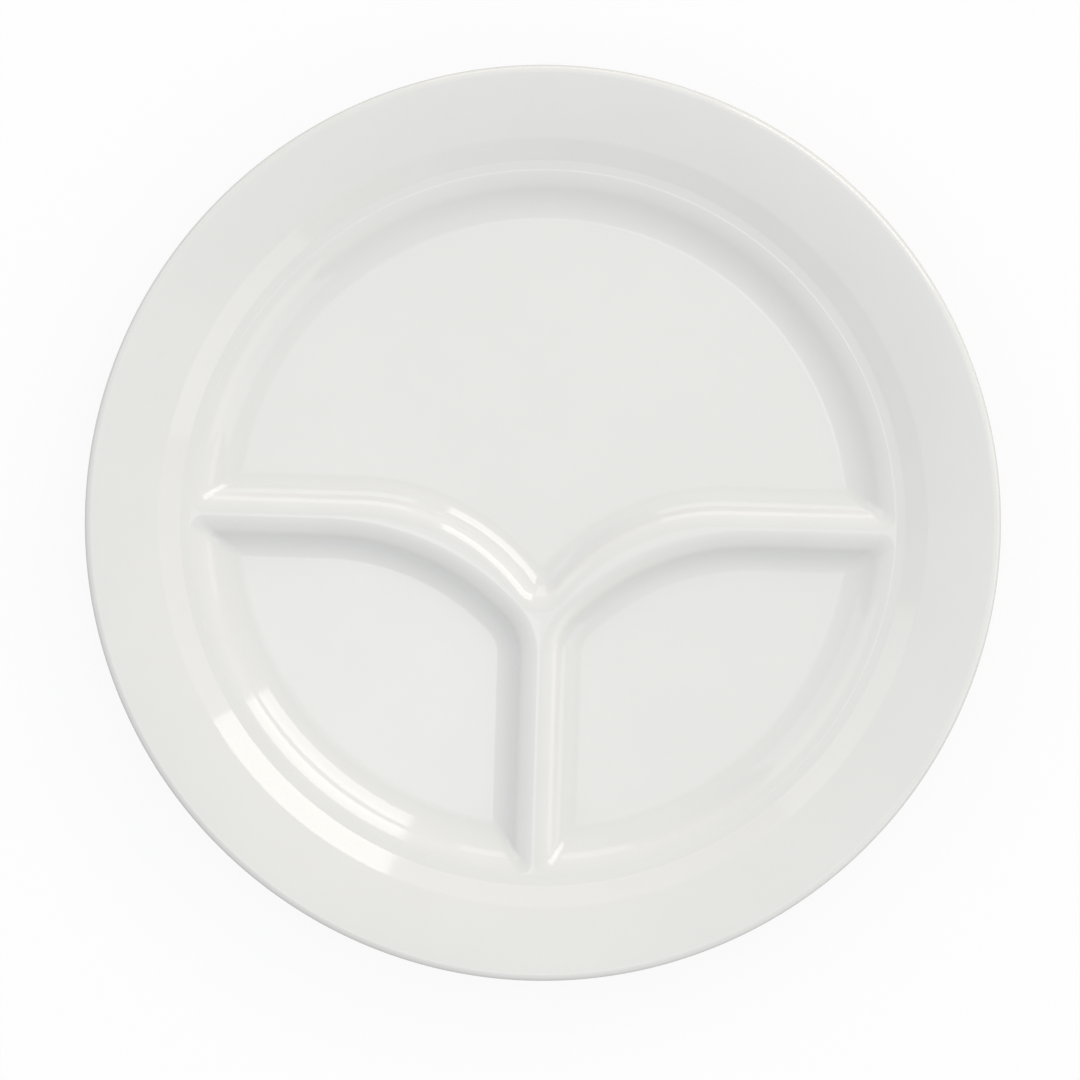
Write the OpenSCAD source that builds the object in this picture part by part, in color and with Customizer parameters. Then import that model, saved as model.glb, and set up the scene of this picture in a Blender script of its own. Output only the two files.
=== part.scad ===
// Divided compartment plate: a round glazed china plate whose well a raised Y divider splits
// into one large and two small compartments. It stands on its dry foot ring at z = 0,
// centred on the origin, with the stem of the Y along -Y.

/* [Plate] */
// outside diameter of the plate
plate_d = 260; // [180:1:320]
// width of the rim, from the top of the second wall out to the edge
rim_w = 20.7; // [12:0.1:40]
// thickness of the rim, and of its rounded lip
rim_t = 3.7; // [3:0.1:6]
// radius of the lip's rounding, a little under half of the rim's thickness
lip_r = 1.75; // [1:0.05:2.8]
// slope of the inner rim, in degrees
rim_in_slope = 16; // [5:1:24]
// slope of the outer rim, in degrees
rim_out_slope = 10; // [3:1:20]
// radius of the soft bend that joins the two parts of the rim
rim_bend_r = 120; // [60:1:250]

/* [Second wall] */
// width of the level ledge just outside the well wall's rounded top
ledge_w = 0.3; // [0.2:0.1:6]
// width of the sloping shoulder between the ledge and the second wall
shoulder_w = 2.6; // [1:0.1:6]
// slope of the shoulder, in degrees
shoulder_slope = 14; // [6:1:20]
// width of the second wall, from its foot out to the rim
second_w = 6.1; // [4:0.1:12]
// slope of the second wall, in degrees
second_slope = 28; // [18:1:45]
// radius of the hollow bend at the foot of the second wall
second_foot_r = 1; // [0.5:0.1:2]
// radius of the bend at the top of the second wall
second_top_r = 6; // [2:0.5:10]

/* [Compartments] */
// thickness of the floor, glaze and all
floor_t = 4.4; // [3:0.1:7]
// height of the compartment walls, from the floor up to the crowns of their rounded tops
wall_h = 5.7; // [3.5:0.1:8]
// radius of the hollow foot of the well wall
well_foot_r = 16; // [9:0.1:20]
// radius of the rounded top of the well wall
well_top_r = 14; // [8:0.1:16]
// slope at which the well wall's rounded top meets the ledge, in degrees
well_end_slope = 14; // [4:1:18]
// radius of the corners beside the well wall, at the floor
corner_floor_r = 1.2; // [0.6:0.1:4]
// radius of the corners beside the well wall, at the crest
corner_crest_r = 3.5; // [1.5:0.1:5]

/* [Divider] */
// radius of the hollow feet of the divider's sides
side_foot_r = 8.75; // [7:0.05:12]
// radius of the divider's rounded top
side_top_r = 7.2; // [5:0.05:9]
// radius of the arms' upper sides, where they bend down to the stem
arm_r = 61.5; // [40:0.1:90]
// how far the large compartment's point reaches down between the arms, measured from their
// upper sides to the middle of the point's rounding
point_drop = 19.6; // [12:0.1:26]
// radius of the point's rounding at the floor
point_floor_r = 1.2; // [0.6:0.1:4]
// radius of the point's rounding at the crest
point_crest_r = 9; // [5:0.1:12]
// radius of the long bend of a small compartment's inner corner
haunch_r = 72.6; // [40:0.1:90]
// radius of the short bend that follows it, beside the stem
knuckle_r = 15.8; // [11:0.1:30]

/* [Underside] */
// height of the foot ring's hollow middle above the table
recess_z = 3; // [1.5:0.1:5]
// how far inside the well wall the foot ring's outer edge stands
foot_inset = 10.4; // [4:0.1:30]
// width of the standing face, before its edges are rounded
foot_w = 4; // [3:0.1:7]
// how far each side of the foot ring leans out from its standing face up to its root
foot_draft = 1; // [0:0.1:3]
// radius of the foot ring's two lower edges
foot_edge_r = 0.8; // [0.3:0.1:1.5]
// radius of the hollow bends where the foot ring grows out of the underside
foot_root_r = 2.4; // [1:0.1:4]
// radius of the soft bend on the underside, below the second wall
back_bend_r = 9; // [3:0.5:20]

/* [Glaze] */
// thickness of the fired glaze
glaze_t = 0.35; // [0.3:0.05:0.6]
// height of the dry band at the bottom of the foot ring
dry_h = 1; // [0.9:0.1:2]

/* [Model] */
// which piece to make

/* [Hidden] */
$fn = 128;
// flat steps in a bend of a section, and in a corner of a compartment
bend_steps = 7;
corner_steps = 4;
// how far a flat step of a compartment's outline may lie inside the true arc
arc_gap = 0.15;
// how far the level crest lies below the crowns of the rounded wall tops
crest_drop = 0.05;
// slope at which a divider's rounded side ends above the level crest, in degrees
end_slope = 3;
// how far a cutting shape runs past the surface that it cuts
overrun = 2.6;

// where along the rim its two slopes meet, and how much of the room below it their bend may take
rim_mid_share = 0.45;
rim_bend_share = 0.999;
// where the triangles of a cutting shape's bottom and top meet, as parts of the well's radius
large_middle_share = 0.33;
small_middle_share = 0.5;

plate_r = plate_d / 2;
floor_z = recess_z + floor_t;
crest_z = floor_z + wall_h - crest_drop;
// how high the well wall's rounded top would go on up to its crown, and the steepest slopes of
// the walls, where their hollow feet meet their rounded tops
well_crown_h = wall_h + well_top_r * (1 - cos(well_end_slope));
well_slope = acos(1 - well_crown_h / (well_foot_r + well_top_r));
side_slope = acos(1 - wall_h / (side_foot_r + side_top_r));
// widths of the divider's hollow foot and of half of its rounded top, on either side of its
// steepest line
side_foot_w = side_foot_r * sin(side_slope);
divider_half_w = side_top_r * sin(side_slope);
// the places of the rim, the second wall and the well wall, where it is steepest, from the edge
// inwards, and the heights of the rim, each from the slope up to it
rim_start_r = plate_r - rim_w;
second_start_r = rim_start_r - second_w;
ledge_end_r = second_start_r - shoulder_w;
well_top_w = well_top_r * (sin(well_slope) - sin(well_end_slope));
well_r = ledge_end_r - ledge_w - well_top_w;
rim_mid_r = rim_start_r + rim_w * rim_mid_share;
second_start_z = crest_z + shoulder_w * tan(shoulder_slope);
rim_start_z = second_start_z + second_w * tan(second_slope);
rim_mid_z = rim_start_z + (rim_mid_r - rim_start_r) * tan(rim_in_slope);
lip_z = rim_mid_z + (plate_r - rim_mid_r) * tan(rim_out_slope);
// the foot ring, and the point halfway up through the floor and across the ring where the two
// areas of glaze are told apart
foot_out_r = well_r - foot_inset;
foot_in_r = foot_out_r - foot_w;
middle_z = (recess_z + floor_z) / 2;
middle_r = (foot_in_r + foot_out_r) / 2;
// the underside's corner below the second wall, the slopes on its two sides, and the bend of the
// rim's middle, no longer than the straight part beside that corner allows
back_r = rim_start_r + rim_t / 4;
back_out_slope = atan2(rim_mid_z - rim_start_z, rim_mid_r - back_r);
back_in_slope = atan2(rim_start_z - rim_t - recess_z, back_r - foot_out_r - foot_draft);
back_bend_w = back_bend_r * tan(abs(back_in_slope - back_out_slope) / 2);
back_room = (rim_mid_r - back_r) / cos(back_out_slope) * rim_bend_share - back_bend_w;
rim_bend = min(rim_bend_r, back_room / tan(abs(back_out_slope - rim_out_slope) / 2));

function unit(v) = v / norm(v);
function turned(a) = [cos(a), sin(a)];

// The corner b of a section, rounded to a radius by flat steps; a and c are the corners beside it.
function bend(a, b, c, r) =
    let (
        u = unit(a - b),
        v = unit(c - b),
        half = acos(u * v) / 2,
        middle = b + unit(u + v) * r / sin(half),
        from = b + u * r / tan(half) - middle,
        to = b + v * r / tan(half) - middle,
        start = atan2(from.y, from.x),
        swing = atan2(from.x * to.y - from.y * to.x, from * to)
    )
    [for (i = [0 : bend_steps]) middle + r * turned(start + swing * i / bend_steps)];

// A closed section from its corners, each given as [radius from the axis, height, rounding].
function section(corners) = [
    for (i = [0 : len(corners) - 1])
        let (
            n = len(corners),
            a = corners[(i + n - 1) % n],
            b = corners[i],
            c = corners[(i + 1) % n]
        )
        each b[2] == 0
            ? [[b.x, b.y]]
            : bend([a.x, a.y], [b.x, b.y], [c.x, c.y], b[2])
];

// The same section, smaller by t all round except along the axis.
function shrunk(points, t) = [
    for (i = [0 : len(points) - 1])
        let (
            n = len(points),
            p = points[i],
            u = unit(p - points[(i + n - 1) % n]),
            v = unit(points[(i + 1) % n] - p),
            inward = [-u.y - v.y, u.x + v.x] / (1 + u * v)
        )
        p.x == 0
            ? [0, p.y + (p.y < middle_z ? t : -t)]
            : p + inward * t
];

// The plate without its compartments, from the hollow middle out to the lip and back.
blank = section([
    [0, recess_z, 0],
    [foot_in_r - foot_draft, recess_z, foot_root_r],
    [foot_in_r, 0, foot_edge_r],
    [foot_out_r, 0, foot_edge_r],
    [foot_out_r + foot_draft, recess_z, foot_root_r],
    [back_r, rim_start_z - rim_t, back_bend_r],
    [rim_mid_r, rim_mid_z - rim_t, rim_bend],
    [plate_r, lip_z - rim_t, lip_r],
    [plate_r, lip_z, lip_r],
    [rim_mid_r, rim_mid_z, rim_bend],
    [rim_start_r, rim_start_z, second_top_r],
    [second_start_r, second_start_z, second_foot_r],
    [ledge_end_r, crest_z, second_foot_r],
    [0, crest_z, 0]
]);
fired = shrunk(blank, glaze_t);

// How far out from its steepest line a wall lies at the height h above its floor, with the
// radii of its foot and its top, the height of its top's crown, and cut t deeper than its glazed
// surface.
function wall_out(h, foot_r, top_r, crown_h, t) =
    let (slope = acos(1 - crown_h / (foot_r + top_r)))
    h < (foot_r + t) * (1 - cos(slope))
        ? (foot_r + t) * sin(acos(1 - h / (foot_r + t))) - foot_r * sin(slope)
        : top_r * sin(slope) - (top_r - t) * sin(acos(1 - (crown_h - h) / (top_r - t)));

// The radius of the well wall, and how far out the divider's sides lie, at the height h.
function well_at(h, t) = well_r + wall_out(h, well_foot_r, well_top_r, well_crown_h, t);
function side_at(h, t) = wall_out(h, side_foot_r, side_top_r, wall_h, t);

// The heights above the floor at which the walls are drawn, up to just over the level crest.
function wall_levels(t) = [
    for (i = [0 : bend_steps])
        (side_foot_r + t) * (1 - cos(side_slope * i / bend_steps)),
    for (i = [1 : bend_steps])
        wall_h - (side_top_r - t) * (1 - cos(side_slope + (end_slope - side_slope) * i / bend_steps))
];

// Where the corners beside the well wall have their centres: how far from the divider's middle
// line, and how far along it.
function near(side, r) = divider_half_w - side + r;
function far(well, side, r) = sqrt(pow(well - r, 2) - pow(near(side, r), 2));

// What a value that goes from first at the floor to last at the crest is where the divider's
// sides lie out from their steepest lines by side.
function between(first, last, side) =
    first + (last - first) * (side + side_foot_w) / (side_foot_w + divider_half_w);

// how far along the divider the corners lie at the floor, which limits the bends between them
far_floor = far(well_r - well_foot_r * sin(well_slope), -side_foot_w, corner_floor_r);
// the rounding of the large compartment's point, where the divider is steepest, and the bent
// arms beside it, no longer than the well allows
point_r = between(point_floor_r, point_crest_r, 0);
arm_most = ((pow(far_floor, 2) - pow(point_r, 2)) / (point_r + point_drop) + point_drop) / 2;
arm_bend = min(arm_r, arm_most);
arm_y = divider_half_w - arm_bend;
arm_bend_x = sqrt(pow(arm_bend + point_r, 2) - pow(arm_bend - point_drop, 2));
// the inner corner of a small compartment: a long bend, then a short one, each half of the turn
half_turn = 45;
knuckle_x = divider_half_w + knuckle_r;
bend_gap = min((haunch_r - knuckle_r) * cos(half_turn), far_floor - knuckle_x);
haunch_bend = knuckle_r + bend_gap / cos(half_turn);
haunch_y = -divider_half_w - haunch_bend;

// how many flat steps an arc of a compartment's outline takes
function arc_steps(r, turn) = ceil(turn / acos(1 - arc_gap / r) / 2);
well_steps = arc_steps(well_r, 180);
arm_steps = arc_steps(arm_bend, half_turn);
haunch_steps = arc_steps(haunch_bend, half_turn);
knuckle_steps = arc_steps(knuckle_r, half_turn);

// An outline is a list of arcs [x, y, radius, start, end, steps] walked with the compartment on
// the left. An arc that turns clockwise bulges into the compartment. These are the outlines where
// the well wall's radius is well and the divider's sides lie out by side.
function large_arcs(well, side) =
    let (
        r = between(corner_floor_r, corner_crest_r, side),
        x = far(well, side, r),
        y = near(side, r),
        turn = atan2(y, x),
        tip_r = between(point_floor_r, point_crest_r, side),
        tip_y = sqrt(pow(arm_bend - side + tip_r, 2) - pow(arm_bend_x, 2)),
        tip_turn = atan2(tip_y, arm_bend_x)
    )
    [
        [0, 0, well, turn, 180 - turn, well_steps],
        [-x, y, r, 180 - turn, 270, corner_steps],
        [-arm_bend_x, arm_y, arm_bend - side, 90, tip_turn, arm_steps],
        [0, arm_y + tip_y, tip_r, 180 + tip_turn, 360 - tip_turn, corner_steps],
        [arm_bend_x, arm_y, arm_bend - side, 180 - tip_turn, 90, arm_steps],
        [x, y, r, -90, turn, corner_steps]
    ];
function small_arcs(well, side) =
    let (
        r = between(corner_floor_r, corner_crest_r, side),
        x = far(well, side, r),
        y = near(side, r),
        turn = atan2(y, x)
    )
    [
        [0, 0, well, turn - 90, -turn, ceil(well_steps / 2)],
        [x, -y, r, -turn, 90, corner_steps],
        [knuckle_x + bend_gap, haunch_y, haunch_bend + side, 90, 90 + half_turn, haunch_steps],
        [knuckle_x, haunch_y + bend_gap, knuckle_r + side, 90 + half_turn, 180, knuckle_steps],
        [y, -x, r, 180, 270 + turn, corner_steps]
    ];
function ring(arcs) = [
    for (arc = arcs)
        for (i = [0 : arc[5]])
            [arc.x, arc.y] + arc[2] * turned(arc[3] + (arc[4] - arc[3]) * i / arc[5])
];

// The shape that hollows out one compartment, from its outlines at the given heights. Its bottom
// and its top are fans of triangles round the point [x, y] = middle.
module compartment(rings, heights, middle) {
    n = len(rings[0]);
    top = len(rings) - 1;
    points = [
        for (j = [0 : top])
            for (p = rings[j])
                [p.x, p.y, heights[j]],
        [middle.x, middle.y, heights[0]],
        [middle.x, middle.y, heights[top]]
    ];
    faces = [
        for (j = [0 : top - 1])
            for (i = [0 : n - 1])
                let (
                    k = (i + 1) % n,
                    low = j * n,
                    high = low + n
                )
                each [[low + i, high + i, high + k], [low + i, high + k, low + k]],
        for (i = [0 : n - 1])
            [len(points) - 2, i, (i + 1) % n],
        for (i = [0 : n - 1])
            [len(points) - 1, top * n + (i + 1) % n, top * n + i]
    ];
    polyhedron(points, faces);
}

// The shapes that hollow out all three compartments, t deeper than their glazed surfaces.
module compartments(t) {
    levels = wall_levels(t);
    heights = [for (h = levels) floor_z - t + h, crest_z + overrun];
    rises = [each levels, levels[len(levels) - 1]];
    large_rings = [for (h = rises) ring(large_arcs(well_at(h, t), side_at(h, t)))];
    small_rings = [for (h = rises) ring(small_arcs(well_at(h, t), side_at(h, t)))];
    small_middle = [well_r, -well_r] * small_middle_share;
    compartment(large_rings, heights, [0, well_r * large_middle_share]);
    compartment(small_rings, heights, small_middle);
    mirror([1, 0, 0])
        compartment(small_rings, heights, small_middle);
}

// The part of a section that lies lower than the height z.
module below(z) {
    translate([0, -overrun])
        square([plate_r + overrun, z + overrun]);
}

// The pressed and fired body: rim, walls, floor and divider, with its dry foot ring.
module china_body() {
    color([0.90, 0.89, 0.86])
        difference() {
            rotate_extrude()
                union() {
                    polygon(fired);
                    intersection() {
                        polygon(blank);
                        below(dry_h);
                    }
                }
            compartments(glaze_t);
        }
}

// The glaze over the face, the lip and the underside, down to the dry band of the foot ring.
module outer_glaze() {
    color([0.94, 0.94, 0.93])
        difference() {
            rotate_extrude()
                polygon(blank);
            difference() {
                rotate_extrude()
                    union() {
                        polygon(fired);
                        below(dry_h);
                        intersection() {
                            below(middle_z);
                            square([middle_r, middle_z]);
                        }
                    }
                compartments(glaze_t);
            }
            compartments(0);
        }
}

// The separate area of glaze inside the foot ring.
module foot_well_glaze() {
    color([0.94, 0.94, 0.93])
        rotate_extrude()
            difference() {
                intersection() {
                    polygon(blank);
                    square([middle_r, middle_z]);
                }
                polygon(fired);
                below(dry_h);
            }
}

china_body();
outer_glaze();
foot_well_glaze();
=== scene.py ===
import math

import bmesh
import bpy
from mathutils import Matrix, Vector


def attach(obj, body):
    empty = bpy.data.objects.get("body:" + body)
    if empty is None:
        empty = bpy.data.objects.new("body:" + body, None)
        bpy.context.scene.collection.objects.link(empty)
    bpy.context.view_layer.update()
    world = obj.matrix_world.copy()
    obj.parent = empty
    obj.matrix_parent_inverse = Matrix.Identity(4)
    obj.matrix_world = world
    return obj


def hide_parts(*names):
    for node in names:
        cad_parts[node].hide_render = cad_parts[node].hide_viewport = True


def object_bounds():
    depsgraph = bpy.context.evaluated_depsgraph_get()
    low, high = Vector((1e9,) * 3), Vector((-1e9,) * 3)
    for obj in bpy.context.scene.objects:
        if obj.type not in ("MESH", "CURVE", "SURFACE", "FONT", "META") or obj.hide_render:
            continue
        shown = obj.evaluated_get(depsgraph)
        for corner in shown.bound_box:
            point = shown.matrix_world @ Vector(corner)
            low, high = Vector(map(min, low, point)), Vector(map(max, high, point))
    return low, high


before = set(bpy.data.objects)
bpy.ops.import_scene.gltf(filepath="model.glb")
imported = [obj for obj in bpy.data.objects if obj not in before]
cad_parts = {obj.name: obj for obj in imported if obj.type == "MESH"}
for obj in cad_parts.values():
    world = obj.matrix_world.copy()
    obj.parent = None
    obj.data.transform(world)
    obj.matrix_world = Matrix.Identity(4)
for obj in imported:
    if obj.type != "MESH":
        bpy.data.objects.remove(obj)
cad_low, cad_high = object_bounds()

# Sizes of the plate in millimetres, the same as those of its solids. The margin keeps the finer
# arcs of the lip inside the box of the solids, whose lip has fewer flats.
MM = 0.001
BOX_MARGIN = 0.006
PLATE_R = cad_high.x / MM - BOX_MARGIN
RIM_W = 20.7
RIM_T = 3.7
LIP_R = 1.75
RIM_IN_SLOPE = 16.0
RIM_OUT_SLOPE = 10.0
RIM_BEND_R = 120.0
RIM_MID_SHARE = 0.45
LEDGE_W = 0.3
SHOULDER_W = 2.6
SHOULDER_SLOPE = 14.0
SECOND_W = 6.1
SECOND_SLOPE = 28.0
SECOND_FOOT_R = 1.0
SECOND_TOP_R = 6.0
FLOOR_T = 4.4
WALL_H = 5.7
WELL_FOOT_R = 16.0
WELL_TOP_R = 14.0
WELL_END_SLOPE = 14.0
CORNER_FLOOR_R = 1.2
CORNER_CREST_R = 3.5
SIDE_FOOT_R = 8.75
SIDE_TOP_R = 7.2
CREST_DROP = 0.05
ARM_R = 61.5
POINT_DROP = 19.6
POINT_FLOOR_R = 1.2
POINT_CREST_R = 9.0
HAUNCH_R = 72.6
KNUCKLE_R = 15.8
RECESS_Z = 3.0
FOOT_INSET = 10.4
FOOT_W = 4.0
FOOT_DRAFT = 1.0
FOOT_EDGE_R = 0.8
FOOT_ROOT_R = 2.4
BACK_BEND_R = 9.0
GLAZE_T = 0.35
DRY_H = 1.0

# The slope at which the divider's rounded top runs out level, and how far the level faces run
# on past the bends of the floor and of the ledge
END_SLOPE = 3.0
FLAT_MARGIN = 0.3
LEDGE_MARGIN = 0.08

# How finely the bends and the rounds are divided, and the angle from which an edge stays sharp
TURN_STEPS = 360
FOOT_STEPS = 14
TOP_STEPS = 13
ROOT_STEPS = 8
EDGE_STEPS = 7
LIP_STEPS = 9
SMOOTH_ANGLE = 35

# How near two points or heights count as the same, in millimetres
WELD = 0.002
FINE_WELD = 0.0005
SAME_LEVEL = 0.004
NEAR_CREST = 0.02
SHORTEST_LINE = 1e-5


def sin_d(angle):
    return math.sin(math.radians(angle))


def cos_d(angle):
    return math.cos(math.radians(angle))


def tan_d(angle):
    return math.tan(math.radians(angle))


# Heights, slopes and places worked out from the sizes
FLOOR_Z = RECESS_Z + FLOOR_T
CREST_Z = FLOOR_Z + WALL_H - CREST_DROP
WELL_CROWN_H = WALL_H + WELL_TOP_R * (1 - cos_d(WELL_END_SLOPE))
WELL_SLOPE = math.degrees(math.acos(1 - WELL_CROWN_H / (WELL_FOOT_R + WELL_TOP_R)))
SIDE_SLOPE = math.degrees(math.acos(1 - WALL_H / (SIDE_FOOT_R + SIDE_TOP_R)))
SIDE_FOOT_W = SIDE_FOOT_R * sin_d(SIDE_SLOPE)
HALF_DIVIDER = SIDE_TOP_R * sin_d(SIDE_SLOPE)
RIM_START_R = PLATE_R - RIM_W
SECOND_START_R = RIM_START_R - SECOND_W
LEDGE_END_R = SECOND_START_R - SHOULDER_W
WELL_TOP_W = WELL_TOP_R * (sin_d(WELL_SLOPE) - sin_d(WELL_END_SLOPE))
WELL_R = LEDGE_END_R - LEDGE_W - WELL_TOP_W
RIM_MID_R = RIM_START_R + RIM_W * RIM_MID_SHARE
SECOND_START_Z = CREST_Z + SHOULDER_W * tan_d(SHOULDER_SLOPE)
RIM_START_Z = SECOND_START_Z + SECOND_W * tan_d(SECOND_SLOPE)
RIM_MID_Z = RIM_START_Z + (RIM_MID_R - RIM_START_R) * tan_d(RIM_IN_SLOPE)
LIP_Z = RIM_MID_Z + (PLATE_R - RIM_MID_R) * tan_d(RIM_OUT_SLOPE) - BOX_MARGIN
FOOT_OUT_R = WELL_R - FOOT_INSET
FOOT_IN_R = FOOT_OUT_R - FOOT_W
# How far the foot ring's sides have leaned where the glaze ends, and how wide the glaze is there
DRY_LEAN = FOOT_DRAFT * DRY_H / RECESS_Z
GLAZE_SLANT = GLAZE_T * math.hypot(FOOT_DRAFT, RECESS_Z) / RECESS_Z


# Arcs are (centre, centre, radius, start, sweep) in millimetres and degrees. One that turns
# anticlockwise grows when it is moved out by d, and one that turns clockwise shrinks.
def arc_point(arc, d, share):
    x, y, r, start, sweep = arc
    angle = start + sweep * share
    moved = r + d * math.copysign(1, sweep)
    return x + moved * cos_d(angle), y + moved * sin_d(angle)


def rounding(before, corner, after, r):
    """The arc that rounds a corner of a section to the radius r."""
    b = Vector(corner)
    u = (Vector(before) - b).normalized()
    v = (Vector(after) - b).normalized()
    half = u.angle(v) / 2
    middle = b + (u + v).normalized() * r / math.sin(half)
    first = b + u * r / math.tan(half) - middle
    last = b + v * r / math.tan(half) - middle
    start = math.degrees(math.atan2(first.y, first.x))
    turn = math.degrees(math.atan2(first.x * last.y - first.y * last.x, first.dot(last)))
    return middle.x, middle.y, r, start, turn


# The profile of the walls: a hollow foot that turns into a rounded top
def wall_out(h, foot_r, top_r, crown_h, t):
    """How far out from its steepest line a wall lies at the height h above its floor, t below
    its glazed surface."""
    slope = math.acos(1 - crown_h / (foot_r + top_r))
    if h < (foot_r + t) * (1 - math.cos(slope)):
        here = math.acos(1 - h / (foot_r + t))
        return (foot_r + t) * math.sin(here) - foot_r * math.sin(slope)
    here = math.acos(1 - (crown_h - h) / (top_r - t))
    return top_r * math.sin(slope) - (top_r - t) * math.sin(here)


def wall_levels(t):
    """The heights above the floor at which the walls are drawn."""
    foot = [SIDE_SLOPE * i / FOOT_STEPS for i in range(FOOT_STEPS + 1)]
    top = [SIDE_SLOPE + (END_SLOPE - SIDE_SLOPE) * i / TOP_STEPS for i in range(1, TOP_STEPS + 1)]
    low = [(SIDE_FOOT_R + t) * (1 - cos_d(slope)) for slope in foot]
    return low + [WALL_H - (SIDE_TOP_R - t) * (1 - cos_d(slope)) for slope in top]


def crest_level(t):
    return FLOOR_Z - t + wall_levels(t)[-1]


def between(first, last, side):
    """A value that goes from first at the floor to last at the crest, where the divider's sides
    lie out from their steepest lines by side."""
    return first + (last - first) * (side + SIDE_FOOT_W) / (SIDE_FOOT_W + HALF_DIVIDER)


# The plan of the walls: the point of the large compartment and the bends of the divider
POINT_R = between(POINT_FLOOR_R, POINT_CREST_R, 0)
ARM_Y = HALF_DIVIDER - ARM_R
ARM_BEND_X = math.sqrt((ARM_R + POINT_R) ** 2 - (ARM_R - POINT_DROP) ** 2)
HALF_TURN = 45.0
BEND_GAP = (HAUNCH_R - KNUCKLE_R) * cos_d(HALF_TURN)
KNUCKLE_X = HALF_DIVIDER + KNUCKLE_R
HAUNCH_Y = -HALF_DIVIDER - HAUNCH_R
WELL_STEPS = 140
ARM_STEPS = 34
HAUNCH_STEPS = 34
KNUCKLE_STEPS = 14
CORNER_STEPS = 8
POINT_STEPS = 12


def corner_place(well, side):
    """Where a corner beside the well wall has its centre, its radius and its direction."""
    r = between(CORNER_FLOOR_R, CORNER_CREST_R, side)
    near = HALF_DIVIDER - side + r
    far = math.sqrt((well - r) ** 2 - near ** 2)
    return near, far, r, math.degrees(math.atan2(near, far))


def large_outline(well, side):
    """The large compartment where the well wall's radius is well and the divider's sides lie
    out by side: its arcs with their steps."""
    near, far, r, turn = corner_place(well, side)
    tip_r = between(POINT_FLOOR_R, POINT_CREST_R, side)
    tip_y = math.sqrt((ARM_R - side + tip_r) ** 2 - ARM_BEND_X ** 2)
    tip_turn = math.degrees(math.atan2(tip_y, ARM_BEND_X))
    return [
        ((0, 0, well, turn, 180 - 2 * turn), WELL_STEPS),
        ((-far, near, r, 180 - turn, 90 + turn), CORNER_STEPS),
        ((-ARM_BEND_X, ARM_Y, ARM_R - side, 90, tip_turn - 90), ARM_STEPS),
        ((0, ARM_Y + tip_y, tip_r, 180 + tip_turn, 180 - 2 * tip_turn), POINT_STEPS),
        ((ARM_BEND_X, ARM_Y, ARM_R - side, 180 - tip_turn, tip_turn - 90), ARM_STEPS),
        ((far, near, r, -90, 90 + turn), CORNER_STEPS),
    ]


def small_outline(well, side):
    """The right small compartment, in the same way."""
    near, far, r, turn = corner_place(well, side)
    haunch = (KNUCKLE_X + BEND_GAP, HAUNCH_Y, HAUNCH_R + side, 90, HALF_TURN)
    knuckle = (KNUCKLE_X, HAUNCH_Y + BEND_GAP, KNUCKLE_R + side, 90 + HALF_TURN, HALF_TURN)
    return [
        ((0, 0, well, turn - 90, 90 - 2 * turn), WELL_STEPS // 2),
        ((far, -near, r, -turn, 90 + turn), CORNER_STEPS),
        (haunch, HAUNCH_STEPS),
        (knuckle, KNUCKLE_STEPS),
        ((near, -far, r, 180, 90 + turn), CORNER_STEPS),
    ]


# The corners of the plate's section, from the foot ring's hollow middle out to the lip and back
HOLLOW = (0, RECESS_Z)
FOOT_IN_ROOT = (FOOT_IN_R - FOOT_DRAFT, RECESS_Z)
FOOT_IN_EDGE = (FOOT_IN_R, 0)
FOOT_OUT_EDGE = (FOOT_OUT_R, 0)
FOOT_OUT_ROOT = (FOOT_OUT_R + FOOT_DRAFT, RECESS_Z)
BACK_BEND = (RIM_START_R + RIM_T / 4, RIM_START_Z - RIM_T)
RIM_MID_BACK = (RIM_MID_R, RIM_MID_Z - RIM_T)
LIP_BACK = (PLATE_R, LIP_Z - RIM_T)
LIP_FACE = (PLATE_R, LIP_Z)
RIM_MID = (RIM_MID_R, RIM_MID_Z)
RIM_START = (RIM_START_R, RIM_START_Z)
SECOND_START = (SECOND_START_R, SECOND_START_Z)
LEDGE_END = (LEDGE_END_R, crest_level(0))
LEDGE = (WELL_R, crest_level(0))

FOOT_IN_ROOT_ARC = rounding(HOLLOW, FOOT_IN_ROOT, FOOT_IN_EDGE, FOOT_ROOT_R)
FOOT_IN_EDGE_ARC = rounding(FOOT_IN_ROOT, FOOT_IN_EDGE, FOOT_OUT_EDGE, FOOT_EDGE_R)
FOOT_OUT_EDGE_ARC = rounding(FOOT_IN_EDGE, FOOT_OUT_EDGE, FOOT_OUT_ROOT, FOOT_EDGE_R)
# From the foot ring up the underside, round the lip and down the face to the ledge: each arc
# with its number of steps
COVERED_ARCS = [
    (rounding(FOOT_OUT_EDGE, FOOT_OUT_ROOT, BACK_BEND, FOOT_ROOT_R), ROOT_STEPS),
    (rounding(FOOT_OUT_ROOT, BACK_BEND, RIM_MID_BACK, BACK_BEND_R), 4),
    (rounding(BACK_BEND, RIM_MID_BACK, LIP_BACK, RIM_BEND_R), 6),
    (rounding(RIM_MID_BACK, LIP_BACK, LIP_FACE, LIP_R), LIP_STEPS),
    (rounding(LIP_BACK, LIP_FACE, RIM_MID, LIP_R), LIP_STEPS),
    (rounding(LIP_FACE, RIM_MID, RIM_START, RIM_BEND_R), 8),
    (rounding(RIM_MID, RIM_START, SECOND_START, SECOND_TOP_R), 6),
    (rounding(RIM_START, SECOND_START, LEDGE_END, SECOND_FOOT_R), 6),
    (rounding(SECOND_START, LEDGE_END, LEDGE, SECOND_FOOT_R), 6),
]


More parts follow.
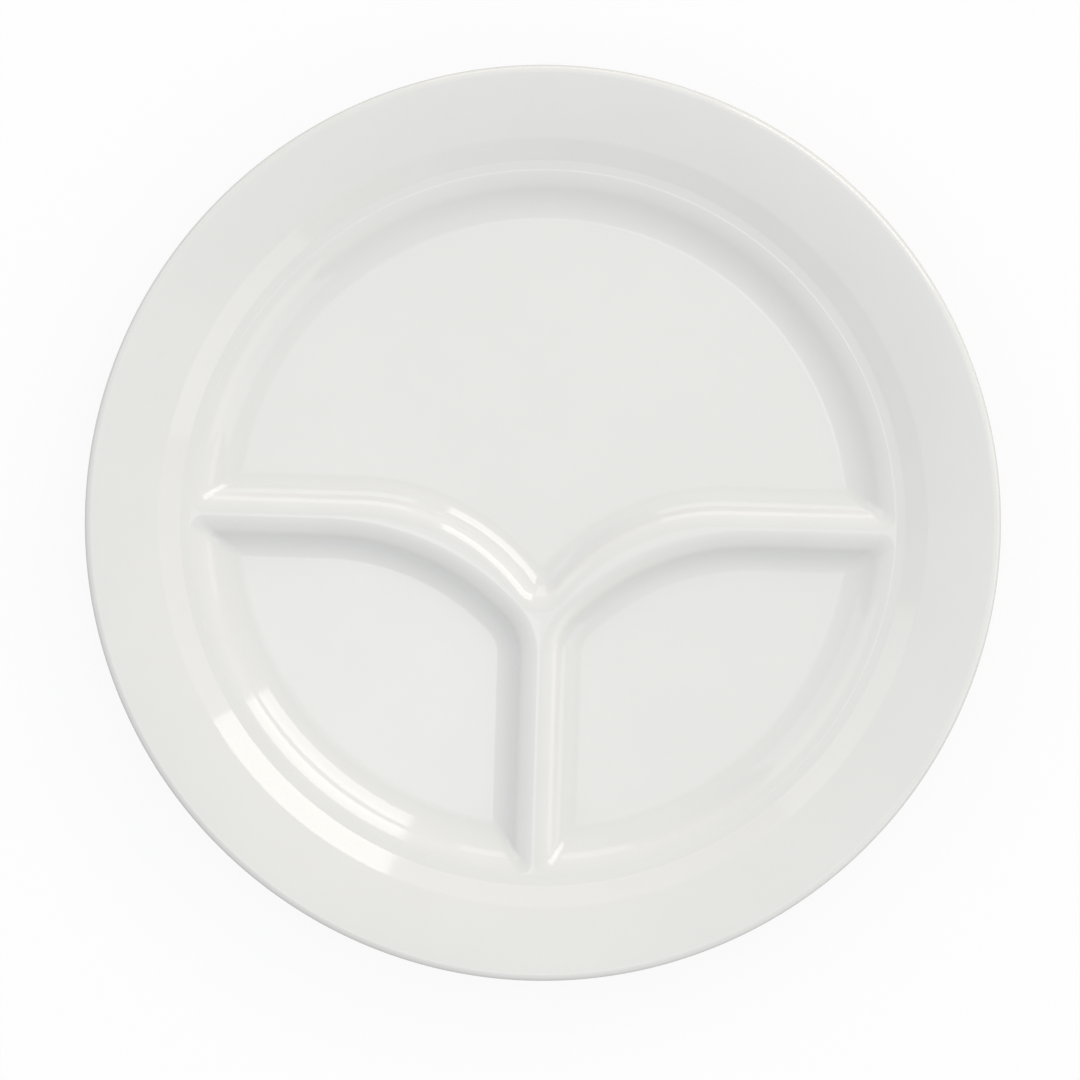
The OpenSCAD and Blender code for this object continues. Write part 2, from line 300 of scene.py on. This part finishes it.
# Hand modelling steps, each on the object that is being edited
def begin(name, x, y, z):
    """A new object with a single point at a place given in millimetres."""
    bpy.ops.object.select_all(action="DESELECT")
    bpy.ops.mesh.primitive_plane_add(size=MM)
    obj = bpy.context.object
    obj.name = name
    bpy.ops.object.mode_set(mode="EDIT")
    bpy.ops.mesh.select_mode(type="VERT")
    bpy.ops.mesh.select_all(action="SELECT")
    bpy.ops.mesh.merge(type="CENTER")
    bpy.ops.transform.translate(value=(x * MM, y * MM, z * MM))
    return obj


def line_by(x, y, z):
    if math.hypot(x, y, z) > SHORTEST_LINE:
        move = {"value": (x * MM, y * MM, z * MM)}
        bpy.ops.mesh.extrude_region_move(TRANSFORM_OT_translate=move)


def draw_outline(name, outline, z):
    """Draws the closed outline of a compartment at the height z, arc by arc."""
    here = arc_point(outline[0][0], 0, 0)
    obj = begin(name, here[0], here[1], z)
    for arc, steps in outline:
        there = arc_point(arc, 0, 0)
        line_by(there[0] - here[0], there[1] - here[1], 0)
        middle = (arc[0] * MM, arc[1] * MM, z * MM)
        sweep = math.radians(arc[4])
        bpy.ops.mesh.spin(steps=steps, angle=-sweep, center=middle, axis=(0, 0, 1))
        here = arc_point(arc, 0, 1)
    bpy.ops.mesh.select_all(action="SELECT")
    bpy.ops.mesh.remove_doubles(threshold=WELD * MM)
    bpy.ops.object.mode_set(mode="OBJECT")
    return obj


def hollow_compartment(name, outline, t):
    """A compartment's wall from the floor up to the crest, bridged from level to level, and its
    floor, t below the glazed surface."""
    levels = wall_levels(t)
    heights = [FLOOR_Z - t + h for h in levels]
    loops = []
    for h, z in zip(levels, heights):
        well = WELL_R + wall_out(h, WELL_FOOT_R, WELL_TOP_R, WELL_CROWN_H, t)
        side = wall_out(h, SIDE_FOOT_R, SIDE_TOP_R, WALL_H, t)
        loops.append(draw_outline(name, outline(well, side), z))
    obj = join(name, loops)
    bpy.ops.object.mode_set(mode="EDIT")
    for low, high in zip(heights, heights[1:]):
        select_levels(obj, (low, high), SAME_LEVEL)
        bpy.ops.mesh.bridge_edge_loops()
    select_levels(obj, (heights[0],), SAME_LEVEL)
    bpy.ops.mesh.edge_face_add()
    bpy.ops.mesh.inset(thickness=FLAT_MARGIN * MM, depth=0, use_even_offset=True)
    bpy.ops.object.mode_set(mode="OBJECT")
    return obj


def mirror_copy():
    """Copies the whole mesh across the plate's middle plane and keeps both."""
    bpy.ops.mesh.select_all(action="SELECT")
    bpy.ops.mesh.duplicate()
    bpy.ops.transform.resize(value=(-1, 1, 1), center_override=(0, 0, 0))
    bpy.ops.mesh.flip_normals()


def draw_section(name, moves):
    """Draws a section as an open line. A move is a point, or an arc with its offset and steps."""
    first = moves[0]
    obj = begin(name, first[0], 0, first[1])
    here = first
    for move in moves[1:]:
        if len(move) == 2:
            line_by(move[0] - here[0], 0, move[1] - here[1])
            here = move
            continue
        arc, d, steps = move
        there = arc_point(arc, d, 0)
        line_by(there[0] - here[0], 0, there[1] - here[1])
        middle = (arc[0] * MM, 0, arc[1] * MM)
        bpy.ops.mesh.spin(
            steps=steps, angle=math.radians(arc[4]), center=middle, axis=(0, 1, 0)
        )
        here = arc_point(arc, d, 1)
    return obj


def turn_section():
    """Spins the drawn section once round the plate's axis and closes the seam."""
    bpy.ops.mesh.select_all(action="SELECT")
    bpy.ops.mesh.spin(
        steps=TURN_STEPS, angle=2 * math.pi, center=(0, 0, 0), axis=(0, 0, 1)
    )
    bpy.ops.mesh.select_all(action="SELECT")
    bpy.ops.mesh.remove_doubles(threshold=WELD * MM)


def join(name, objects):
    bpy.ops.object.mode_set(mode="OBJECT")
    bpy.ops.object.select_all(action="DESELECT")
    for obj in objects:
        obj.select_set(True)
    bpy.context.view_layer.objects.active = objects[0]
    bpy.ops.object.join()
    obj = bpy.context.object
    obj.name = name
    obj.data.name = name
    return obj


def select_levels(obj, heights, near):
    """Selects the open edges that lie at one of the heights."""
    bpy.ops.mesh.select_mode(type="EDGE")
    bpy.ops.mesh.select_all(action="DESELECT")
    mesh = bmesh.from_edit_mesh(obj.data)
    for edge in mesh.edges:
        if len(edge.link_faces) < 2:
            ends = [v.co.z / MM for v in edge.verts]
            level = any(max(abs(z - end) for end in ends) < near for z in heights)
            edge.select_set(level)
    bmesh.update_edit_mesh(obj.data)


def face_and_lip(name, t, section):
    """The plate's surface, t below the glazed one: three compartments, the crest between them,
    and the turned section from where it starts, round the lip, to the ledge."""
    large = hollow_compartment("large_compartment", large_outline, t)
    small = hollow_compartment("small_compartments", small_outline, t)
    bpy.ops.object.mode_set(mode="EDIT")
    mirror_copy()
    bpy.ops.object.mode_set(mode="OBJECT")
    turned = draw_section("turned", section)
    turn_section()
    obj = join(name, [turned, large, small])
    bpy.ops.object.mode_set(mode="EDIT")
    select_levels(obj, (crest_level(t),), NEAR_CREST)
    bpy.ops.mesh.fill(use_beauty=True)
    bpy.ops.mesh.select_all(action="SELECT")
    bpy.ops.mesh.remove_doubles(threshold=FINE_WELD * MM)
    bpy.ops.mesh.select_all(action="SELECT")
    bpy.ops.mesh.normals_make_consistent(inside=False)
    bpy.ops.object.mode_set(mode="OBJECT")
    return obj


def finish_piece(obj):
    """Shades a piece smooth, except across its sharp edges, and settles its place."""
    bpy.ops.object.select_all(action="DESELECT")
    obj.select_set(True)
    bpy.context.view_layer.objects.active = obj
    bpy.ops.object.transform_apply(location=True, rotation=True, scale=True)
    bpy.ops.object.shade_smooth_by_angle(angle=math.radians(SMOOTH_ANGLE))
    return obj


def make_outer_glaze():
    """The glass layer over the face, the lip and the underside, down to the dry band."""
    section = [(FOOT_OUT_R + DRY_LEAN, DRY_H)]
    section += [(arc, 0, steps) for arc, steps in COVERED_ARCS]
    section += [(ledge_start(), crest_level(0))]
    obj = face_and_lip("outer_glaze_skin", 0, section)
    solid = obj.modifiers.new("thickness", "SOLIDIFY")
    solid.thickness = GLAZE_T * MM
    solid.offset = -1
    solid.use_even_offset = True
    bpy.ops.object.modifier_apply(modifier="thickness")
    return finish_piece(obj)


def ledge_start():
    """Where the level ledge begins, a little inside the hollow bend at its outer end."""
    return arc_point(COVERED_ARCS[-1][0], 0, 1)[0] - LEDGE_MARGIN


def make_china_body():
    """The fired body below the glaze, with its dry foot ring at full size."""
    t = GLAZE_T
    section = [
        (0, RECESS_Z + t),
        (FOOT_IN_ROOT_ARC, -t, ROOT_STEPS),
        (FOOT_IN_R - DRY_LEAN + GLAZE_SLANT, DRY_H),
        (FOOT_IN_R - DRY_LEAN, DRY_H),
        (FOOT_IN_EDGE_ARC, 0, EDGE_STEPS),
        (FOOT_OUT_EDGE_ARC, 0, EDGE_STEPS),
        (FOOT_OUT_R + DRY_LEAN, DRY_H),
        (FOOT_OUT_R + DRY_LEAN - GLAZE_SLANT, DRY_H),
    ]
    section += [(arc, -t, steps) for arc, steps in COVERED_ARCS]
    section += [(ledge_start(), crest_level(t))]
    obj = face_and_lip("fired_body", t, section)
    return finish_piece(obj)


def make_foot_well_glaze():
    """The separate area of glaze inside the foot ring, as one closed turned piece."""
    x, z, r, start, sweep = FOOT_IN_ROOT_ARC
    way_back = (x, z, r, start + sweep, -sweep)
    section = [
        (0, RECESS_Z),
        (FOOT_IN_ROOT_ARC, 0, ROOT_STEPS),
        (FOOT_IN_R - DRY_LEAN, DRY_H),
        (FOOT_IN_R - DRY_LEAN + GLAZE_SLANT, DRY_H),
        (way_back, GLAZE_T, ROOT_STEPS),
        (0, RECESS_Z + GLAZE_T),
    ]
    obj = draw_section("foot_well_glaze_skin", section)
    turn_section()
    bpy.ops.mesh.normals_make_consistent(inside=False)
    bpy.ops.object.mode_set(mode="OBJECT")
    return finish_piece(obj)


# Shared effects of the china's surface, as node groups
def new_group(name, inputs, output):
    """A shader node group with named number inputs and one output."""
    group = bpy.data.node_groups.new(name, "ShaderNodeTree")
    for label, value in inputs:
        socket = group.interface.new_socket(
            name=label, in_out="INPUT", socket_type="NodeSocketFloat"
        )
        socket.default_value = value
    group.interface.new_socket(name=output, in_out="OUTPUT", socket_type="NodeSocketFloat")
    enter = group.nodes.new("NodeGroupInput")
    leave = group.nodes.new("NodeGroupOutput")
    return group, enter, leave


def add(tree, kind, operation=None, **values):
    """A node with its operation and the given sockets set or linked. A socket is given by its name,
    or as i and its number."""
    node = tree.nodes.new(kind)
    if operation:
        node.operation = operation
    for label, value in values.items():
        key = int(label[1:]) if label[0] == "i" and label[1:].isdigit() else label
        if isinstance(value, bpy.types.NodeSocket):
            tree.links.new(value, node.inputs[key])
        else:
            node.inputs[key].default_value = value
    return node


def math_node(tree, operation, a, b=0.0, c=0.0):
    return add(tree, "ShaderNodeMath", operation, i0=a, i1=b, i2=c).outputs[0]


def ramp(tree, value, low, high, first=0.0, last=1.0):
    """A smooth change from first to last as a value goes from low to high."""
    node = tree.nodes.new("ShaderNodeMapRange")
    node.interpolation_type = "SMOOTHSTEP"
    tree.links.new(value, node.inputs["Value"])
    for label, number in (("From Min", low), ("From Max", high), ("To Min", first), ("To Max", last)):
        node.inputs[label].default_value = number
    return node.outputs["Result"]


def place_of(tree):
    return tree.nodes.new("ShaderNodeTexCoord").outputs["Object"]


def noise(tree, place, scale, detail, rough=0.5):
    node = add(tree, "ShaderNodeTexNoise", Vector=place, Scale=scale, Detail=detail)
    node.inputs["Roughness"].default_value = rough
    return node.outputs["Fac"]


# The shared effects' numbers: how much more the slow tone counts than the cloudy one, the radius
# of the smallest speck as a share of its cell, and the heights between which the glaze's pooling
# changes over, in millimetres above and below the middle of the walls
SLOW_SHARE = 1.3
SMALLEST_SPECK = 0.008
MIDDLE_Z = FLOOR_Z + WALL_H / 2
POOLING_H = 2.5


def tone_group():
    """Slow and fine changes of tone in fired china, as a factor near one."""
    group, enter, leave = new_group("china_tone", [("Depth", 0.02)], "Tone")
    place = place_of(group)
    slow = noise(group, place, scale=14.0, detail=2.0)
    cloudy = noise(group, place, scale=75.0, detail=3.0)
    both = math_node(group, "ADD", math_node(group, "MULTIPLY", slow, SLOW_SHARE), cloudy)
    centred = math_node(group, "SUBTRACT", both, (SLOW_SHARE + 1) / 2)
    tone = math_node(group, "MULTIPLY_ADD", centred, enter.outputs["Depth"], 1.0)
    group.links.new(tone, leave.inputs["Tone"])
    return group


def speck_group():
    """Sparse round specks, from one to a few tenths of a millimetre across, as a mask."""
    inputs = [("Cells per metre", 120.0), ("Share", 0.05), ("Size", 0.03)]
    group, enter, leave = new_group("kiln_specks", inputs, "Mask")
    cells = add(group, "ShaderNodeTexVoronoi", Vector=place_of(group))
    group.links.new(enter.outputs["Cells per metre"], cells.inputs["Scale"])
    split = add(group, "ShaderNodeSeparateColor", Color=cells.outputs["Color"])
    chosen = math_node(group, "LESS_THAN", split.outputs["Red"], enter.outputs["Share"])
    size = enter.outputs["Size"]
    size = math_node(group, "MULTIPLY_ADD", split.outputs["Green"], size, SMALLEST_SPECK)
    edge = math_node(group, "DIVIDE", cells.outputs["Distance"], size)
    spot = ramp(group, edge, low=0.6, high=1.0, first=1.0, last=0.0)
    group.links.new(math_node(group, "MULTIPLY", chosen, spot), leave.inputs["Mask"])
    return group


def ripple_group():
    """The slight ripple and orange peel of a fired glaze, as a height from 0 to 1."""
    group, enter, leave = new_group("glaze_ripple", [("Fine share", 0.3)], "Height")
    place = place_of(group)
    broad = noise(group, place, scale=60.0, detail=1.0)
    fine = noise(group, place, scale=420.0, detail=2.0, rough=0.55)
    height = math_node(group, "MULTIPLY_ADD", fine, enter.outputs["Fine share"], broad)
    group.links.new(height, leave.inputs["Height"])
    return group


def pooling_group():
    """How thick the glaze lies: above 0.5 where it gathers in the hollow foot of a wall, and
    below 0.5 where it drew off a rounded top."""
    group, enter, leave = new_group("glaze_pooling", [("Middle height", MIDDLE_Z * MM)], "Gather")
    place = add(group, "ShaderNodeSeparateXYZ", Vector=place_of(group))
    geometry = group.nodes.new("ShaderNodeNewGeometry")
    normal = add(group, "ShaderNodeSeparateXYZ", Vector=geometry.outputs["Normal"])
    steep = ramp(group, normal.outputs["Z"], low=0.80, high=0.995, first=1.0, last=0.0)
    rise = math_node(group, "SUBTRACT", place.outputs["Z"], enter.outputs["Middle height"])
    half = POOLING_H * MM
    side = ramp(group, rise, low=-half, high=half, first=0.5, last=-0.5)
    gather = math_node(group, "MULTIPLY_ADD", side, steep, 0.5)
    group.links.new(gather, leave.inputs["Gather"])
    return group


def use(tree, group, **values):
    node = tree.nodes.new("ShaderNodeGroup")
    node.node_tree = group
    for label, value in values.items():
        node.inputs[label.replace("_", " ")].default_value = value
    return node.outputs[0]


def new_material(name):
    material = bpy.data.materials.new(name)
    material.use_nodes = True
    shader = material.node_tree.nodes["Principled BSDF"]
    return material, material.node_tree, shader


def mixed(tree, factor, a, b):
    """A colour between a and b."""
    node = tree.nodes.new("ShaderNodeMix")
    node.data_type = "RGBA"
    tree.links.new(factor, node.inputs["Factor"])
    for label, value in (("A", a), ("B", b)):
        socket = next(s for s in node.inputs if s.name == label and s.type == "RGBA")
        if isinstance(value, bpy.types.NodeSocket):
            tree.links.new(value, socket)
        else:
            socket.default_value = (*value, 1.0)
    return next(s for s in node.outputs if s.type == "RGBA")


def toned(tree, colour, tone):
    """A colour made lighter or darker by a factor near one."""
    node = add(tree, "ShaderNodeVectorMath", "SCALE")
    tree.links.new(colour, node.inputs[0])
    tree.links.new(tone, node.inputs["Scale"])
    return node.outputs[0]


# Colours and finishes of the glaze and of the dry china
GLAZE_WHITE = (0.765, 0.757, 0.738)
GLAZE_POOLED = (0.742, 0.741, 0.728)
GLAZE_THIN = (0.790, 0.778, 0.752)
SPECK_BROWN = (0.36, 0.31, 0.25)
CHINA_DRY = (0.74, 0.715, 0.66)
CHINA_WORN = (0.42, 0.405, 0.38)
GLAZE_IOR = 1.52
GLAZE_ROUGH = 0.06
HANDLED_ROUGH = 0.10
GLAZE_TONE_DEPTH = 0.03
GLAZE_SPECK_DEPTH = 0.55
GLAZE_RIPPLE_MM = 0.02
DRY_ROUGH = 0.82
WORN_ROUGH = 0.62
WORN_DEPTH = 0.55
DRY_TONE_DEPTH = 0.10
DRY_SPECK_DEPTH = 0.5
DRY_GRAIN_MM = 0.05


def glaze_material(groups):
    """Clear gloss over white china, with soft tone changes, pooling, specks and ripple."""
    material, tree, shader = new_material("clear_glaze_on_china")
    gather = use(tree, groups["pooling"])
    thin = mixed(tree, ramp(tree, gather, low=0.0, high=0.5), GLAZE_THIN, GLAZE_WHITE)
    colour = mixed(tree, ramp(tree, gather, low=0.5, high=1.0), thin, GLAZE_POOLED)
    colour = toned(tree, colour, use(tree, groups["tone"], Depth=GLAZE_TONE_DEPTH))
    speck = use(tree, groups["specks"], Share=0.035, Size=0.03)
    speck = math_node(tree, "MULTIPLY", speck, GLAZE_SPECK_DEPTH)
    colour = mixed(tree, speck, colour, SPECK_BROWN)
    tree.links.new(colour, shader.inputs["Base Color"])
    handled = noise(tree, place_of(tree), scale=32.0, detail=3.0, rough=0.6)
    rough = ramp(tree, handled, low=0.35, high=0.7, first=GLAZE_ROUGH, last=HANDLED_ROUGH)
    tree.links.new(rough, shader.inputs["Roughness"])
    bump = add(tree, "ShaderNodeBump", Strength=1.0, Distance=GLAZE_RIPPLE_MM * MM)
    tree.links.new(use(tree, groups["ripple"], Fine_share=0.12), bump.inputs["Height"])
    tree.links.new(bump.outputs["Normal"], shader.inputs["Normal"])
    shader.inputs["IOR"].default_value = GLAZE_IOR
    return material


def dry_china_material(groups):
    """Unglazed fired china: matt, slightly sandy, and rubbed grey where it stands."""
    material, tree, shader = new_material("dry_fired_china")
    place = place_of(tree)
    height = add(tree, "ShaderNodeSeparateXYZ", Vector=place).outputs["Z"]
    standing = ramp(tree, height, low=0.05 * MM, high=0.45 * MM, first=1.0, last=0.0)
    patches = noise(tree, place, scale=160.0, detail=5.0, rough=0.65)
    patches = ramp(tree, patches, low=0.46, high=0.62)
    worn = math_node(tree, "MULTIPLY", standing, patches)
    worn = math_node(tree, "MULTIPLY", worn, WORN_DEPTH)
    colour = mixed(tree, worn, CHINA_DRY, CHINA_WORN)
    colour = toned(tree, colour, use(tree, groups["tone"], Depth=DRY_TONE_DEPTH))
    speck = use(tree, groups["specks"], Cells_per_metre=500.0, Share=0.06, Size=0.12)
    speck = math_node(tree, "MULTIPLY", speck, DRY_SPECK_DEPTH)
    colour = mixed(tree, speck, colour, SPECK_BROWN)
    tree.links.new(colour, shader.inputs["Base Color"])
    rough = ramp(tree, worn, low=0.0, high=0.5, first=DRY_ROUGH, last=WORN_ROUGH)
    tree.links.new(rough, shader.inputs["Roughness"])
    bump = add(tree, "ShaderNodeBump", Strength=0.9, Distance=DRY_GRAIN_MM * MM)
    grain = noise(tree, place, scale=2600.0, detail=4.0, rough=0.7)
    tree.links.new(grain, bump.inputs["Height"])
    tree.links.new(bump.outputs["Normal"], shader.inputs["Normal"])
    return material


# The camera's frame as in the photograph, and the distances of the studio in metres
PICTURE_PX = 1080
PX_MM = 0.28366
PLATE_PX = (542.9, 522.8)
TURN = 1.66
CAMERA_H = 3.2
SENSOR_MM = 36.0
NEAR_CLIP = 0.1
FAR_CLIP = 40.0


def make_camera():
    """Straight above the plate, turned and shifted as the photograph frames it."""
    data = bpy.data.cameras.new("overhead_camera")
    camera = bpy.data.objects.new("overhead_camera", data)
    bpy.context.scene.collection.objects.link(camera)
    right = (PICTURE_PX / 2 - PLATE_PX[0]) * PX_MM * MM
    up = (PLATE_PX[1] - PICTURE_PX / 2) * PX_MM * MM
    camera.location.x = right * cos_d(TURN) - up * sin_d(TURN)
    camera.location.y = right * sin_d(TURN) + up * cos_d(TURN)
    camera.location.z = CAMERA_H
    camera.rotation_euler.z = math.radians(TURN)
    to_rim = CAMERA_H - cad_high.z
    data.sensor_width = SENSOR_MM
    data.lens = SENSOR_MM * to_rim / (PICTURE_PX * PX_MM * MM)
    data.clip_start = NEAR_CLIP
    data.clip_end = FAR_CLIP
    bpy.context.scene.camera = camera


# The lamps, in metres and degrees: the window stands upright in two halves
WINDOW_AZIMUTH = 50.2
WINDOW_AWAY = 2.5
WINDOW_HALF_ANGLE = 17.5
WINDOW_TOP_ZENITH = 38
WINDOW_MIDDLE_ZENITH = 55
WINDOW_LOW_ZENITH = 66
UPPER_RADIANCE = 3.3
LOWER_RADIANCE = 3.7
WARM = (1.0, 0.94, 0.87)
NEUTRAL = (1.0, 1.0, 1.0)
SOFTBOX_AWAY = 2.0
# Each softbox: its name, azimuth, zenith angle, width, level and colour
SOFTBOXES = (
    ("right_wall", 0, 78, 1.0, 0.07, WARM),
    ("back_wall", 92, 78, 1.0, 0.095, WARM),
    ("left_fill", 150, 57, 1.0, 0.06, NEUTRAL),
    ("right_fill", 330, 57, 1.0, 0.06, NEUTRAL),
    ("overhead_fill", 0, 0, 0.42, 0.0105, NEUTRAL),
    ("front_card", 225, 3.6, 0.17, 0.0022, NEUTRAL),
)


def rectangle_lamp(name, width, height, radiance, colour):
    data = bpy.data.lights.new(name, "AREA")
    data.shape = "RECTANGLE"
    data.size = width
    data.size_y = height
    data.energy = math.pi * radiance * width * height
    data.color = colour
    lamp = bpy.data.objects.new(name, data)
    bpy.context.scene.collection.objects.link(lamp)
    lamp.visible_camera = False
    return lamp


def window(name, top_zenith, low_zenith, radiance, colour):
    """An upright rectangle of light that faces the plate's axis, between two zenith angles."""
    low = WINDOW_AWAY / tan_d(low_zenith)
    top = WINDOW_AWAY / tan_d(top_zenith)
    width = 2 * WINDOW_AWAY * tan_d(WINDOW_HALF_ANGLE)
    lamp = rectangle_lamp(name, width, top - low, radiance, colour)
    x = WINDOW_AWAY * cos_d(WINDOW_AZIMUTH)
    y = WINDOW_AWAY * sin_d(WINDOW_AZIMUTH)
    lamp.location = (x, y, (low + top) / 2)
    lamp.rotation_euler = (math.radians(90), 0, math.radians(WINDOW_AZIMUTH + 90))


def softbox(name, azimuth, zenith, width, level, colour):
    """A square light aimed at the plate. Its level is what it adds to a white surface that faces
    it."""
    radiance = level * math.pi * (SOFTBOX_AWAY / width) ** 2
    lamp = rectangle_lamp(name, width, width, radiance, colour)
    flat = SOFTBOX_AWAY * sin_d(zenith)
    height = SOFTBOX_AWAY * cos_d(zenith)
    lamp.location = (flat * cos_d(azimuth), flat * sin_d(azimuth), height)
    aim = -Vector(lamp.location)
    lamp.rotation_euler = aim.to_track_quat("-Z", "Y").to_euler()


def make_lights():
    """A tall window behind on the right with dim walls low on both sides of it, weak lights from
    the left, the right and above, and a small card above in front on the left."""
    middle = WINDOW_MIDDLE_ZENITH
    window("upper_window", WINDOW_TOP_ZENITH, middle, UPPER_RADIANCE, WARM)
    window("lower_window", middle, WINDOW_LOW_ZENITH, LOWER_RADIANCE, WARM)
    for name, azimuth, zenith, width, level, colour in SOFTBOXES:
        softbox(name, azimuth, zenith, width, level, colour)


WORLD_LEVEL = 0.775
WORLD_COLOUR = (0.96, 0.985, 1.0, 1.0)


def make_world():
    """A white room that the camera and reflections see in full, and that lights the plate less."""
    world = bpy.data.worlds.new("white_studio")
    bpy.context.scene.world = world
    world.use_nodes = True
    tree = world.node_tree
    back = tree.nodes["Background"]
    path = tree.nodes.new("ShaderNodeLightPath")
    seen = math_node(tree, "MAXIMUM", path.outputs["Is Camera Ray"], path.outputs["Is Glossy Ray"])
    seen = math_node(tree, "MAXIMUM", seen, path.outputs["Is Transmission Ray"])
    level = math_node(tree, "MULTIPLY_ADD", seen, 1.0 - WORLD_LEVEL, WORLD_LEVEL)
    tree.links.new(level, back.inputs["Strength"])
    back.inputs["Color"].default_value = WORLD_COLOUR


# The table, in metres, and how white it looks and how much light it throws back
TABLE_R = 6.0
TABLE_SIDES = 96
TABLE_ROUGH = 0.9
TABLE_SEEN = (0.88, 0.88, 0.88)
TABLE_BOUNCE = (0.5, 0.5, 0.5)
TABLE_GLOW_SHARE = 0.9


def make_floor():
    """A plain table that shows white, keeps a soft part of the plate's shadow and throws only
    half of its light back at the plate."""
    bpy.ops.object.select_all(action="DESELECT")
    bpy.ops.mesh.primitive_circle_add(vertices=TABLE_SIDES, radius=TABLE_R, fill_type="NGON")
    floor = bpy.context.object
    floor.name = "white_table"
    material = bpy.data.materials.new("white_table")
    material.use_nodes = True
    tree = material.node_tree
    shader = tree.nodes["Principled BSDF"]
    path = tree.nodes.new("ShaderNodeLightPath")
    colour = mixed(tree, path.outputs["Is Camera Ray"], TABLE_BOUNCE, TABLE_SEEN)
    tree.links.new(colour, shader.inputs["Base Color"])
    shader.inputs["Roughness"].default_value = TABLE_ROUGH
    shader.inputs["Specular IOR Level"].default_value = 0.0
    glow = tree.nodes.new("ShaderNodeEmission")
    glow.inputs["Strength"].default_value = 1.0
    share = math_node(tree, "MULTIPLY", path.outputs["Is Camera Ray"], TABLE_GLOW_SHARE)
    mix = tree.nodes.new("ShaderNodeMixShader")
    tree.links.new(share, mix.inputs["Fac"])
    tree.links.new(shader.outputs["BSDF"], mix.inputs[1])
    tree.links.new(glow.outputs["Emission"], mix.inputs[2])
    tree.links.new(mix.outputs["Shader"], tree.nodes["Material Output"].inputs["Surface"])
    floor.data.materials.append(material)


def main():
    groups = {
        "tone": tone_group(),
        "specks": speck_group(),
        "ripple": ripple_group(),
        "pooling": pooling_group(),
    }
    glaze = glaze_material(groups)
    dry = dry_china_material(groups)
    pieces = (
        (make_outer_glaze(), "outer_glaze", glaze, "glaze"),
        (make_china_body(), "china_body", dry, "fired_china"),
        (make_foot_well_glaze(), "foot_well_glaze", glaze, "glaze"),
    )
    for obj, node, material, slot in pieces:
        obj.data.materials.clear()
        obj.data.materials.append(material)
        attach(obj, "root")
        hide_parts(node)
    make_floor()
    make_lights()
    make_world()
    make_camera()
    bpy.context.scene.view_settings.view_transform = "Standard"


main()
